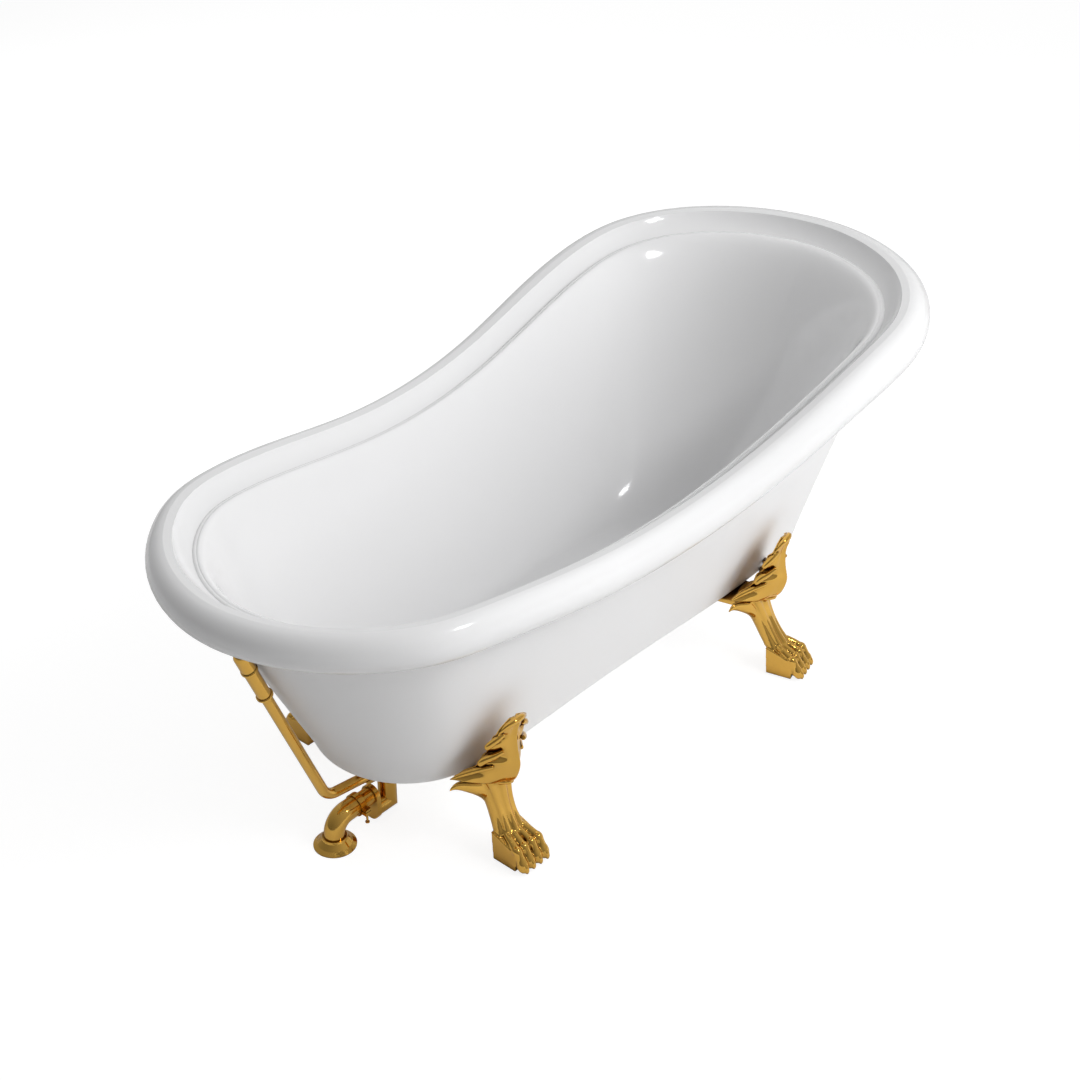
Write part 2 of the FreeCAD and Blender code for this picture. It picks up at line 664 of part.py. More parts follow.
def make_studs():
    low = SEAT_THICKNESS + WASHER_THICKNESS + NUT_HEIGHT + STUD_TAIL
    return Part.makeCompound([cylinder(STUD_RADIUS, STUD_TOP_Z - BASE_Z + low, s - Z_AXIS * low)
                              for s in stud_places()])


def make_washers():
    drop = Z_AXIS * (SEAT_THICKNESS + WASHER_THICKNESS)
    return Part.makeCompound([tube(WASHER_RADIUS, STUD_RADIUS + STUD_GAP, WASHER_THICKNESS, s - drop)
                              for s in stud_places()])


def make_nuts():
    nuts = []
    for stud in stud_places():
        base = stud - Z_AXIS * (SEAT_THICKNESS + WASHER_THICKNESS + NUT_HEIGHT)
        nuts.append(hexagon_prism(NUT_FLATS, NUT_HEIGHT, base).cut(cylinder(STUD_RADIUS, NUT_HEIGHT, base)))
    return Part.makeCompound(nuts)


def make_pads():
    """Thin rubber pad under each paw."""
    pads = []
    for name, centre, turn, reach in foot_places():
        pad = box_between(Vector(PAD_INSET - PAW_HALF_WIDTH, PAD_INSET - PAW_SOLE_BACK, 0),
                          Vector(PAW_HALF_WIDTH - PAD_INSET, PAW_SOLE_FRONT - PAD_INSET, PAD_THICKNESS))
        pad.Placement = foot_placement(centre, turn)
        pads.append(pad)
    return Part.makeCompound(pads)


# ---------------------------------------------------------------- waste
DRAIN = Vector(DRAIN_X, 0, 0)
DRAIN_SEAT_Z = FLOOR_Z + SEAL_THICKNESS     # top of the seal under the drain flange
CAP_LOW_Z = DRAIN_SEAT_Z + FLANGE_LIP + STOPPER_SEAL + STOPPER_LIFT
RUN_AXIS = Vector(math.cos(math.radians(RISER_FALL)), 0, -math.sin(math.radians(RISER_FALL)))


def run_point(x):
    """Point on the riser's lower run at a place along the tub."""
    return RISER_CORNER + RUN_AXIS * ((x - RISER_CORNER_X) / RUN_AXIS.x)


def make_drain_flange():
    """Flange in the basin floor with its tube, and a hub for the stopper on four arms."""
    lip = DRAIN_SEAT_Z + FLANGE_LIP
    flange = revolve_profile([(DRAIN_BORE_RADIUS, FLANGE_TUBE_LOW_Z), (DRAIN_TUBE_RADIUS, FLANGE_TUBE_LOW_Z),
                              (DRAIN_TUBE_RADIUS, DRAIN_SEAT_Z), (DRAIN_FLANGE_RADIUS, DRAIN_SEAT_Z),
                              (DRAIN_FLANGE_RADIUS - 1, lip - 1), (DRAIN_BORE_RADIUS + 5, lip),
                              (DRAIN_BORE_RADIUS + 3, lip), (DRAIN_BORE_RADIUS, DRAIN_SEAT_Z)], DRAIN)
    hub_base = DRAIN + Z_AXIS * (DRAIN_SEAT_Z - HUB_DROP - HUB_HEIGHT)
    arms = []
    for k in range(4):
        arm = Part.makeBox(DRAIN_BORE_RADIUS + 1, ARM_WIDTH, ARM_HEIGHT, Vector(0, -ARM_WIDTH / 2, 0))
        arm.Placement = Placement(hub_base, Rotation(Z_AXIS, 45 + 90 * k))
        arms.append(arm)
    flange = flange.multiFuse(arms + [cylinder(HUB_RADIUS, HUB_HEIGHT, hub_base)])
    return flange.cut(cylinder(STEM_RADIUS + STEM_GAP, HUB_HEIGHT, hub_base))


def make_drain_seal():
    return tube(DRAIN_FLANGE_RADIUS - 1, DRAIN_HOLE_RADIUS, SEAL_THICKNESS, DRAIN + Z_AXIS * FLOOR_Z)


def make_stopper_cap():
    """Shallow domed cap, shown open."""
    profile = [(0, 0), (STOPPER_RADIUS - 2, 0), (STOPPER_RADIUS, 1.5), (STOPPER_RADIUS - 3, 4),
               (STOPPER_RADIUS / 2, 5.6), (0, 6)]
    return revolve_profile(profile, DRAIN + Z_AXIS * CAP_LOW_Z)


def make_stopper_seal():
    base = DRAIN + Z_AXIS * (CAP_LOW_Z - STOPPER_SEAL)
    return tube(STOPPER_RADIUS - 6, STOPPER_RADIUS - 9, STOPPER_SEAL, base)


def make_stopper_stem():
    return cylinder(STEM_RADIUS, STEM_LENGTH, DRAIN + Z_AXIS * (CAP_LOW_Z - STEM_LENGTH))


def make_waste_body():
    """Tube under the drain with a side port for the riser and a narrower spigot below."""
    top = FLOOR_Z - SHEET - SEAL_THICKNESS
    bore = DRAIN_TUBE_RADIUS + SLIP_GAP / 2
    neck = BODY_LOW_Z + BODY_SPIGOT
    body = revolve_profile([(bore, top), (BODY_RADIUS, top), (BODY_RADIUS, neck + BODY_TAPER),
                            (SHOE_RADIUS + 3, neck), (SHOE_RADIUS + 3, BODY_LOW_Z), (SHOE_BORE, BODY_LOW_Z),
                            (SHOE_BORE, neck), (bore, neck + BODY_TAPER)], DRAIN)
    mouth = run_point(PORT_END_X)
    depth = DRAIN_X - PORT_END_X
    port = cylinder(PORT_RADIUS, depth, mouth, RUN_AXIS)
    body = body.fuse(port.cut(cylinder(BODY_RADIUS - 1, THROUGH, DRAIN)))
    body = body.cut(cylinder(RISER_BORE, depth, mouth, RUN_AXIS))
    return body.cut(cylinder(RISER_RADIUS, PORT_SOCKET, mouth, RUN_AXIS))


def make_body_washer():
    return tube(BODY_RADIUS + 3, DRAIN_HOLE_RADIUS, SEAL_THICKNESS,
                DRAIN + Z_AXIS * (FLOOR_Z - SHEET - SEAL_THICKNESS))


def make_body_nut():
    """Round nut with eight grips that clamps the body to the skirt's underside."""
    base = DRAIN + Z_AXIS * (BASE_Z - BODY_NUT_HEIGHT)
    nut = tube(BODY_NUT_RADIUS, BODY_RADIUS, BODY_NUT_HEIGHT, base)
    for k in range(8):
        angle = math.radians(45 * k)
        centre = base + Vector(math.cos(angle), math.sin(angle), 0) * (BODY_NUT_RADIUS + 2)
        nut = nut.cut(cylinder(5, BODY_NUT_HEIGHT, centre))
    return nut


def make_drop_tube():
    """Tube from the waste body down into the shoe."""
    low = SHOE_AXIS_Z + SHOE_LENGTH - SHOE_SOCKET
    return tube(SHOE_BORE, SHOE_BORE - DROP_WALL, BODY_LOW_Z + BODY_SPIGOT - low, DRAIN + Z_AXIS * low)


def mitred_bend(radius, up, out, corner):
    """Two round legs that meet in a 45 degree mitre, one up and one to the foot end."""
    reach = radius + 1
    square = [corner + Vector(-reach, 0, reach), corner + Vector(reach, 0, -reach),
              corner + Vector(-reach, 0, -reach)]
    below = Part.Face(closed_polygon([p - Y_AXIS * reach for p in square])).extrude(Y_AXIS * 2 * reach)
    upright = cylinder(radius, up + reach, corner - Z_AXIS * reach)
    level = cylinder(radius, out + reach, corner + X_AXIS * reach, -X_AXIS)
    box = box_between(corner - Vector(reach, reach, reach), corner + Vector(reach, reach, reach))
    above = box.cut(below)
    return upright.cut(below).fuse(level.cut(above))


def make_shoe():
    """Mitred elbow at the bottom of the drain."""
    corner = Vector(DRAIN_X, 0, SHOE_AXIS_Z)
    bend = mitred_bend(SHOE_RADIUS, SHOE_LENGTH, SHOE_REACH, corner)
    bend = bend.cut(mitred_bend(SHOE_BORE - DROP_WALL, SHOE_LENGTH, SHOE_REACH, corner))
    return bend.cut(cylinder(SHOE_BORE, SHOE_SOCKET, corner + Z_AXIS * (SHOE_LENGTH - SHOE_SOCKET)))


COUPLING_FACE_X = DRAIN_X - SHOE_REACH


def make_coupling():
    """Offset union: a low round face for the shoe and a higher one for the outlet barrel."""
    back = COUPLING_FACE_X - COUPLING_THICKNESS
    low = Vector(back, 0, COUPLING_LOW_Z)
    high = Vector(back, 0, OUTLET_Z)
    lean = math.asin((COUPLING_LOW_RADIUS - COUPLING_HIGH_RADIUS) / (OUTLET_Z - COUPLING_LOW_Z))
    side = Vector(0, math.cos(lean), math.sin(lean))
    other = Vector(0, -side.y, side.z)
    web = closed_polygon([low + side * COUPLING_LOW_RADIUS, high + side * COUPLING_HIGH_RADIUS,
                          high + other * COUPLING_HIGH_RADIUS, low + other * COUPLING_LOW_RADIUS])
    body = Part.Face(web).extrude(X_AXIS * COUPLING_THICKNESS)
    body = body.fuse(cylinder(COUPLING_LOW_RADIUS, COUPLING_THICKNESS, low, X_AXIS))
    body = body.fuse(cylinder(COUPLING_HIGH_RADIUS, COUPLING_THICKNESS, high, X_AXIS))
    slot = box_between(Vector(back + DROP_WALL, -BARREL_BORE / 2, SHOE_AXIS_Z),
                       Vector(COUPLING_FACE_X - DROP_WALL, BARREL_BORE / 2, OUTLET_Z))
    body = body.cut(slot)
    inlet = Vector(COUPLING_FACE_X - COUPLING_THICKNESS / 2, 0, SHOE_AXIS_Z)
    body = body.cut(cylinder(SHOE_BORE - DROP_WALL, COUPLING_THICKNESS, inlet, X_AXIS))
    return body.cut(cylinder(BARREL_BORE, COUPLING_THICKNESS / 2, high, X_AXIS))


def make_barrel():
    """Straight tube from the coupling into the outlet elbow."""
    start = Vector(COUPLING_FACE_X - COUPLING_THICKNESS, 0, OUTLET_Z)
    length = start.x - OUTLET_SOCKET_X + BARREL_SOCKET
    return tube(OUTLET_BORE - SLIP_GAP, BARREL_BORE, length, start, -X_AXIS)


def bent_rod(radius, path):
    """Solid round rod along a wire."""
    start = path.Edges[0]
    direction = start.tangentAt(start.FirstParameter)
    circle = Part.Circle(start.valueAt(start.FirstParameter), direction, radius)
    return path.makePipeShell([Part.Wire([circle.toShape()])], True, True)


def outlet_path():
    """Up from the floor, round the bend, and level to the open end."""
    centre = Vector(OUTLET_X + OUTLET_BEND, 0, OUTLET_Z - OUTLET_BEND)
    foot = Vector(OUTLET_X, 0, 0)
    spring = Vector(OUTLET_X, 0, OUTLET_Z - OUTLET_BEND)
    crown = Vector(OUTLET_X + OUTLET_BEND, 0, OUTLET_Z)
    mid = centre + Vector(-1, 0, 1).normalize() * OUTLET_BEND
    return Part.Wire([Part.makeLine(foot, spring), Part.Arc(spring, mid, crown).toShape(),
                      Part.makeLine(crown, Vector(OUTLET_SOCKET_X, 0, OUTLET_Z))])


def make_outlet():
    return bent_rod(OUTLET_RADIUS, outlet_path()).cut(bent_rod(OUTLET_BORE, outlet_path()))


CLAMP_NEAR = -(OUTLET_RADIUS + CLAMP_WALL)


def make_clamp():
    """Band round the open end of the outlet elbow, with a lug on its near side."""
    start = Vector(OUTLET_SOCKET_X, 0, OUTLET_Z)
    band = cylinder(OUTLET_RADIUS + CLAMP_WALL, CLAMP_WIDTH, start, -X_AXIS)
    lug = box_between(Vector(OUTLET_SOCKET_X - CLAMP_WIDTH, CLAMP_NEAR - CLAMP_LUG, OUTLET_Z - CLAMP_LUG),
                      Vector(OUTLET_SOCKET_X, 0, OUTLET_Z + CLAMP_LUG / 2))
    band = band.fuse(lug)
    band = band.cut(cylinder(OUTLET_RADIUS, CLAMP_WIDTH, start, -X_AXIS))
    split = box_between(Vector(OUTLET_SOCKET_X - CLAMP_WIDTH, CLAMP_NEAR - CLAMP_LUG, OUTLET_Z - 1.5),
                        Vector(OUTLET_SOCKET_X, -OUTLET_RADIUS + 1, OUTLET_Z))
    return band.cut(split).cut(cylinder(CLAMP_SCREW_RADIUS, THROUGH, clamp_screw_base()))


def clamp_screw_base():
    """Middle of the screw's lower end."""
    return Vector(OUTLET_SOCKET_X - CLAMP_WIDTH / 2, CLAMP_NEAR - CLAMP_LUG / 2,
                  OUTLET_Z - CLAMP_LUG - CLAMP_SCREW_LENGTH)


def make_clamp_screw():
    base = clamp_screw_base()
    shank = cylinder(CLAMP_SCREW_RADIUS, CLAMP_SCREW_LENGTH + 1.5 * CLAMP_LUG, base)
    return shank.fuse(cylinder(2 * CLAMP_SCREW_RADIUS, CLAMP_SCREW_RADIUS, base))


def make_floor_flange():
    """Spun flange that hides the hole in the floor and slides up its tube."""
    bore = OUTLET_RADIUS + FLANGE_GAP
    profile = [(bore, FLANGE_HEIGHT), (FLANGE_COLLAR_RADIUS, FLANGE_HEIGHT),
               (FLANGE_COLLAR_RADIUS + 1.5, FLANGE_HEIGHT - 4), (FLANGE_RADIUS - 7, FLANGE_HEIGHT / 3),
               (FLANGE_RADIUS, FLANGE_WALL), (FLANGE_RADIUS, 0), (FLANGE_RADIUS - FLANGE_WALL, 0),
               (FLANGE_RADIUS - 8, FLANGE_HEIGHT / 3 - FLANGE_WALL),
               (FLANGE_COLLAR_RADIUS - 1, FLANGE_HEIGHT - 6), (bore, FLANGE_HEIGHT - 7)]
    return revolve_profile(profile, Vector(OUTLET_X, 0, 0))


# ---------------------------------------------------------------- overflow
def make_riser():
    """Bent tube: a run that falls to the waste body, one bend, and a long leaning leg."""
    turn = math.acos(RUN_AXIS.dot(RISER_UP * -1))
    leg = RISER_BEND * math.tan(turn / 2)
    low = run_point(PORT_END_X) + RUN_AXIS * PORT_SOCKET
    spring = RISER_CORNER + RUN_AXIS * leg
    crown = RISER_CORNER + RISER_UP * leg
    inward = (RUN_AXIS + RISER_UP).normalize()
    middle = RISER_CORNER + inward * (RISER_BEND / math.cos(turn / 2) - RISER_BEND)
    top = ELBOW_CENTRE - RISER_UP * ELBOW_STOP
    path = Part.Wire([Part.makeLine(low, spring), Part.Arc(spring, middle, crown).toShape(),
                      Part.makeLine(crown, top)])
    return bent_rod(RISER_RADIUS, path).cut(bent_rod(RISER_BORE, path))


def make_riser_nut():
    """Union nut over the port's end."""
    base = run_point(PORT_END_X) - RUN_AXIS * RISER_NUT_LIP
    nut = cylinder(RISER_NUT_RADIUS, RISER_NUT_LENGTH, base, RUN_AXIS)
    nut = nut.cut(cylinder(RISER_RADIUS, RISER_NUT_LENGTH, base, RUN_AXIS))
    return nut.cut(cylinder(PORT_RADIUS, RISER_NUT_LENGTH, run_point(PORT_END_X), RUN_AXIS))


def sleeve_base():
    return ELBOW_CENTRE - RISER_UP * (SLEEVE_TOP + SLEEVE_LENGTH)


def make_sleeve():
    return tube(SLEEVE_RADIUS, RISER_RADIUS, SLEEVE_LENGTH, sleeve_base(), RISER_UP)


def make_collars():
    """A bevelled collar at each end of the sleeve."""
    inset = COLLAR_RADIUS - COLLAR_BEVEL
    profile = [(SLEEVE_RADIUS, 0), (inset, 0), (COLLAR_RADIUS, COLLAR_BEVEL),
               (COLLAR_RADIUS, COLLAR_LENGTH - COLLAR_BEVEL), (inset, COLLAR_LENGTH),
               (SLEEVE_RADIUS, COLLAR_LENGTH)]
    collars = []
    for share in (0, 1):
        base = sleeve_base() + RISER_UP * (SLEEVE_LENGTH - COLLAR_LENGTH) * share
        collars.append(revolve_profile(profile, base, RISER_UP))
    return Part.makeCompound(collars)


FLANGE_FACE = skirt_distance() - GASKET_THICKNESS


def make_overflow_elbow():
    """Elbow at the riser's top, its flange on the skirt and its neck through both walls."""
    socket = ELBOW_CENTRE - RISER_UP * ELBOW_SOCKET
    neck_end = basin_distance() - NECK_SHORT
    pieces = [cylinder(ELBOW_RADIUS, ELBOW_SOCKET, socket, RISER_UP),
              cylinder(ELBOW_RADIUS, FLANGE_FACE, ELBOW_CENTRE, INTO_TUB),
              cylinder(OVERFLOW_FLANGE_RADIUS, OVERFLOW_FLANGE_THICKNESS,
                       ELBOW_CENTRE + INTO_TUB * (FLANGE_FACE - OVERFLOW_FLANGE_THICKNESS), INTO_TUB),
              cylinder(NECK_RADIUS, neck_end, ELBOW_CENTRE, INTO_TUB)]
    elbow = Part.makeSphere(ELBOW_RADIUS, ELBOW_CENTRE).multiFuse(pieces)
    elbow = elbow.cut(cylinder(NECK_BORE, neck_end, ELBOW_CENTRE, INTO_TUB))
    elbow = elbow.cut(cylinder(RISER_BORE, ELBOW_SOCKET, socket, RISER_UP))
    elbow = elbow.cut(cylinder(RISER_RADIUS, ELBOW_SOCKET - ELBOW_STOP, socket, RISER_UP))
    bar = Part.makeBox(2 * BAR_HALF_WIDTH, 2 * (NECK_BORE + 1), BAR_DEPTH,
                       Vector(-BAR_HALF_WIDTH, -NECK_BORE - 1, 0))
    bar.Placement = Placement(ELBOW_CENTRE + INTO_TUB * (neck_end - BAR_DEPTH), Rotation(Z_AXIS, INTO_TUB))
    screw = cylinder(OVERFLOW_SCREW_RADIUS, THROUGH, ELBOW_CENTRE, INTO_TUB)
    return elbow.fuse(bar.cut(screw))


def make_overflow_gasket():
    return tube(OVERFLOW_FLANGE_RADIUS, NECK_RADIUS, GASKET_THICKNESS, ELBOW_CENTRE + INTO_TUB * FLANGE_FACE,
                INTO_TUB)


def plate_distance():
    """From the same centre to the overflow plate's back, clear of the curved wall all round."""
    upward = INTO_TUB.cross(Y_AXIS) * PLATE_RADIUS
    sideways = Y_AXIS * PLATE_RADIUS
    return max(basin_distance(aside) for aside in (upward, -upward, sideways, -sideways)) + PLATE_GAP


PLATE_BACK = ELBOW_CENTRE + INTO_TUB * plate_distance()
SPACER_LENGTH = plate_distance() - basin_distance() + NECK_SHORT


def make_overflow_plate():
    """Bevelled plate that stands off the basin wall, with a spacer to the neck's bar."""
    profile = [(OVERFLOW_SCREW_RADIUS, -SPACER_LENGTH), (BAR_HALF_WIDTH, -SPACER_LENGTH), (BAR_HALF_WIDTH, 0),
               (PLATE_RADIUS, 0), (PLATE_RADIUS - PLATE_BEVEL, PLATE_THICKNESS),
               (OVERFLOW_SCREW_RADIUS, PLATE_THICKNESS)]
    return revolve_profile(profile, PLATE_BACK, INTO_TUB)


def make_overflow_screw():
    """Screw through the plate into the neck's bar."""
    front = PLATE_BACK + INTO_TUB * PLATE_THICKNESS
    length = PLATE_THICKNESS + SPACER_LENGTH + BAR_DEPTH
    head = Part.makeSphere(2 * OVERFLOW_SCREW_RADIUS, front, INTO_TUB)
    head = head.common(cylinder(PLATE_RADIUS, PLATE_RADIUS, front, INTO_TUB))
    return head.fuse(cylinder(OVERFLOW_SCREW_RADIUS, length, front - INTO_TUB * length, INTO_TUB))


# ---------------------------------------------------------------- one file per piece
save("basin", make_basin())
save("outer_skirt", make_skirt())
save("floor_board", make_board())
save("foot_blocks", make_blocks())
CASTINGS = {reach: make_foot(reach) for reach in (FOOT_END_REACH, HEAD_END_REACH)}
for name, centre, turn, reach in foot_places():
    foot = CASTINGS[reach].copy()
    foot.Placement = foot_placement(centre, turn)
    save("claw_foot_" + name, foot)
save("foot_studs", make_studs())
save("foot_washers", make_washers())
save("foot_nuts", make_nuts())
save("foot_pads", make_pads())
save("drain_flange", make_drain_flange())
save("drain_seal", make_drain_seal())
save("stopper_cap", make_stopper_cap())
save("stopper_seal", make_stopper_seal())
save("stopper_stem", make_stopper_stem())
save("waste_body", make_waste_body())
save("body_washer", make_body_washer())
save("body_nut", make_body_nut())
save("drop_tube", make_drop_tube())
save("shoe_elbow", make_shoe())
save("offset_coupling", make_coupling())
save("outlet_barrel", make_barrel())
save("outlet_elbow", make_outlet())
save("hose_clamp", make_clamp())
save("clamp_screw", make_clamp_screw())
save("floor_flange", make_floor_flange())
save("riser_tube", make_riser())
save("riser_nut", make_riser_nut())
save("sleeve", make_sleeve())
save("sleeve_collars", make_collars())
save("overflow_elbow", make_overflow_elbow())
save("overflow_gasket", make_overflow_gasket())
save("overflow_plate", make_overflow_plate())
save("overflow_screw", make_overflow_screw())
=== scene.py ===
"""Looks of the slipper bathtub: white acrylic, gold claw feet and waste, and a pale floor."""

import bpy
import bmesh
import json
import math
import numpy as np
from mathutils import Matrix, Vector


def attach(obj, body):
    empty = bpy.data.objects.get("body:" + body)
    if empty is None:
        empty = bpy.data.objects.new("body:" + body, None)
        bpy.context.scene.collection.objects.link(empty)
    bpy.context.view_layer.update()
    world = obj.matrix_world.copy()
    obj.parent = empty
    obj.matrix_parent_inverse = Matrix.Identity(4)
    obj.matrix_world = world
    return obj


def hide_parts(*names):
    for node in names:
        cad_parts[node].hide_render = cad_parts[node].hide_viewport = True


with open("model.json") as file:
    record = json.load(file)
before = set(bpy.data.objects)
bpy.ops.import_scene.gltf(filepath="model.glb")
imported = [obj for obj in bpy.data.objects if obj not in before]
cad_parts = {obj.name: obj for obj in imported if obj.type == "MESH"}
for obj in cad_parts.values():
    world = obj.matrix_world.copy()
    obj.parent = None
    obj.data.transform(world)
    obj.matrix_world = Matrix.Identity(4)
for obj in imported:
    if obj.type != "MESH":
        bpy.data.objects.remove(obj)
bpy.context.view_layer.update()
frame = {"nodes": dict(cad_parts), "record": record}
NODES = frame["nodes"]
MM = 0.001
scene = bpy.context.scene

# ---------------------------------------------------------------- materials
# Blender's noise lies mostly between these two values.
NOISE_LOW, NOISE_HIGH = 0.3, 0.7


def node_maker(tree):
    """Function that adds a node to the tree, and sets its inputs or else its settings by name."""
    def node(kind, **values):
        made = tree.nodes.new(kind)
        for key, value in values.items():
            if key in made.inputs:
                made.inputs[key].default_value = value
            else:
                setattr(made, key, value)
        return made

    return node


def shader(name):
    """New material, its node tree, its principled shader and the function that adds nodes."""
    material = bpy.data.materials.new(name)
    material.use_nodes = True
    tree = material.node_tree
    return material, tree, tree.nodes["Principled BSDF"], node_maker(tree)


def noise(tree, node, scale, detail, stretch=(1, 1, 1)):
    """Noise in object space, with a stretch along each axis."""
    where = node("ShaderNodeTexCoord")
    mapping = node("ShaderNodeMapping", Scale=stretch)
    texture = node("ShaderNodeTexNoise", Scale=scale, Detail=detail)
    tree.links.new(where.outputs["Object"], mapping.inputs["Vector"])
    tree.links.new(mapping.outputs["Vector"], texture.inputs["Vector"])
    return texture


def roughen(tree, node, principled, source, low, high):
    """Roughness that runs from low to high with a noise."""
    ramp = node("ShaderNodeMapRange", **{"From Min": NOISE_LOW, "From Max": NOISE_HIGH,
                                         "To Min": low, "To Max": high})
    tree.links.new(source.outputs[0], ramp.inputs["Value"])
    tree.links.new(ramp.outputs["Result"], principled.inputs["Roughness"])


def mix_colours(tree, node, principled, factor, low, high):
    """Base colour that runs from low to high with a factor."""
    colour = node("ShaderNodeMix", data_type="RGBA")
    colour.inputs["A"].default_value = low
    colour.inputs["B"].default_value = high
    tree.links.new(factor, colour.inputs["Factor"])
    tree.links.new(colour.outputs["Result"], principled.inputs["Base Color"])


def bump(tree, node, principled, source, strength, distance):
    """Surface lifted by a noise, over a distance in metres."""
    lift = node("ShaderNodeBump", Strength=strength, Distance=distance)
    tree.links.new(source.outputs[0], lift.inputs["Height"])
    tree.links.new(lift.outputs["Normal"], principled.inputs["Normal"])


ACRYLIC_WHITE = (0.86, 0.86, 0.865, 1)
ACRYLIC_IOR = 1.49
ACRYLIC_RADIUS = (0.004, 0.004, 0.004)  # subsurface radius of red, green and blue


def make_acrylic(name, rough_low, rough_high, coat):
    """Moulded white acrylic with a barely wavy surface."""
    material, tree, principled, node = shader(name)
    for key, value in (("Base Color", ACRYLIC_WHITE), ("IOR", ACRYLIC_IOR),
                       ("Subsurface Weight", 0.04), ("Subsurface Radius", ACRYLIC_RADIUS),
                       ("Coat Weight", coat), ("Coat Roughness", 0.02)):
        principled.inputs[key].default_value = value
    haze = noise(tree, node, scale=9.0, detail=4.0)
    roughen(tree, node, principled, haze, rough_low, rough_high)
    waves = noise(tree, node, scale=3.5, detail=1.0)
    bump(tree, node, principled, waves, strength=0.06, distance=0.004)
    return material


# the gold's own colour in the open, and a painted shade for its hollows and grooves
GOLD_PAINTED_SHADE, GOLD_OPEN = (0.11, 0.044, 0.006, 1), (0.82, 0.475, 0.10, 1)
HOLLOW_REACH = 0.014  # how far a hollow's walls are looked for by the painted shade, m
ALL_SHADE_OPENNESS, NO_SHADE_OPENNESS = 0.30, 0.92  # openness where the colour is all painted shade, and where it is all the gold's own


def make_gold(name):
    """Gold plate over polished brass, with painted shade that darkens its hollows."""
    material, tree, principled, node = shader(name)
    principled.inputs["Metallic"].default_value = 1.0
    # painted shade: the occlusion darkens the base colour in hollows and grooves, where shade falls
    hollow = node("ShaderNodeAmbientOcclusion", Distance=HOLLOW_REACH, samples=8)
    depth = node("ShaderNodeMapRange", **{"From Min": ALL_SHADE_OPENNESS, "From Max": NO_SHADE_OPENNESS})
    tree.links.new(hollow.outputs["AO"], depth.inputs["Value"])
    mix_colours(tree, node, principled, depth.outputs["Result"], GOLD_PAINTED_SHADE, GOLD_OPEN)
    tone = noise(tree, node, scale=14.0, detail=3.0)
    roughen(tree, node, principled, tone, low=0.07, high=0.13)
    grain = noise(tree, node, scale=260.0, detail=2.0)
    bump(tree, node, principled, grain, strength=0.03, distance=0.0004)
    return material


def make_wood(name, light, dark, scale):
    """Bare wood with its grain along x."""
    material, tree, principled, node = shader(name)
    grain = noise(tree, node, scale, detail=6.0, stretch=(0.15, 1, 1))
    mix_colours(tree, node, principled, grain.outputs[0], dark, light)
    principled.inputs["Roughness"].default_value = 0.75
    bump(tree, node, principled, grain, strength=0.3, distance=0.001)
    return material


def make_plain(name, colour, rough, metallic=0.0):
    """Fine-grained material for the small hidden pieces."""
    material, tree, principled, node = shader(name)
    principled.inputs["Base Color"].default_value = colour
    principled.inputs["Metallic"].default_value = metallic
    grain = noise(tree, node, scale=60.0, detail=4.0)
    roughen(tree, node, principled, grain, rough * 0.8, min(rough * 1.2, 1.0))
    bump(tree, node, principled, grain, strength=0.12, distance=0.0006)
    return material


LOOKS = {
    "white_acrylic": make_acrylic("white_acrylic", 0.10, 0.14, coat=0.4),
    "gold_metal": make_gold("gold_metal"),
    "board_wood": make_wood("board_wood", (0.55, 0.40, 0.24, 1), (0.34, 0.22, 0.12, 1), 90.0),
    "block_wood": make_wood("block_wood", (0.50, 0.33, 0.18, 1), (0.28, 0.17, 0.08, 1), 40.0),
    "zinc_steel": make_plain("zinc_steel", (0.60, 0.60, 0.58, 1), 0.30, metallic=1.0),
    "clear_rubber": make_plain("clear_rubber", (0.72, 0.72, 0.70, 1), 0.45),
    "black_rubber": make_plain("black_rubber", (0.03, 0.03, 0.03, 1), 0.6),
}

for part in frame["record"]["subparts"]:
    mesh = NODES[part["node"]].data
    mesh.materials.clear()
    mesh.materials.append(LOOKS[part["material_slot"]])
# the outside is left as moulded, less polished than the basin
NODES["outer_skirt"].data.materials[0] = make_acrylic("skirt_acrylic", 0.42, 0.50, coat=0.0)

# ---------------------------------------------------------------- shaped pieces
SPAN_STEPS = 6  # rings a span of a limb or of the leg
LIMB_POINTS = 20  # points round a limb
LIMB_THINNEST = 0.3  # smallest radius, mm
SKIN_VOXEL = 1.4  # size of the skin's voxels, mm
SKIN_PASSES = 2  # times that the skin is smoothed
X_AXIS, Y_AXIS, Z_AXIS = (1, 0, 0), (0, 1, 0), (0, 0, 1)


def mesh_object(name, points, faces, material):
    mesh = bpy.data.meshes.new(name)
    mesh.from_pydata([tuple(p) for p in points], [], faces)
    mesh.materials.append(material)
    made = bpy.data.objects.new(name, mesh)
    scene.collection.objects.link(made)
    return made


def loft(rings):
    """Points and faces of a closed tube through rings of as many points each."""
    rows, count = len(rings), len(rings[0])
    points = np.concatenate([np.asarray(r, float) for r in rings])
    faces = []
    for i in range(rows - 1):
        for j in range(count):
            a, b = i * count + j, i * count + (j + 1) % count
            faces.append((a, b, b + count, a + count))
    faces.append(tuple(range(count))[::-1])
    faces.append(tuple(range((rows - 1) * count, rows * count)))
    return points, faces


def curve_through(stations, steps):
    """Catmull-Rom line through rows of numbers, with steps points a span."""
    rows = np.asarray(stations, float)
    rows = np.vstack([2 * rows[0] - rows[1], rows, 2 * rows[-1] - rows[-2]])
    out = []
    for k in range(1, len(rows) - 2):
        a, b, c, d = rows[k - 1:k + 3]
        for t in np.arange(steps) / steps:
            out.append(0.5 * (2 * b + (c - a) * t + (2 * a - 5 * b + 4 * c - d) * t ** 2
                              + (3 * b - 3 * c + d - a) * t ** 3))
    out.append(rows[-2])
    return np.array(out)


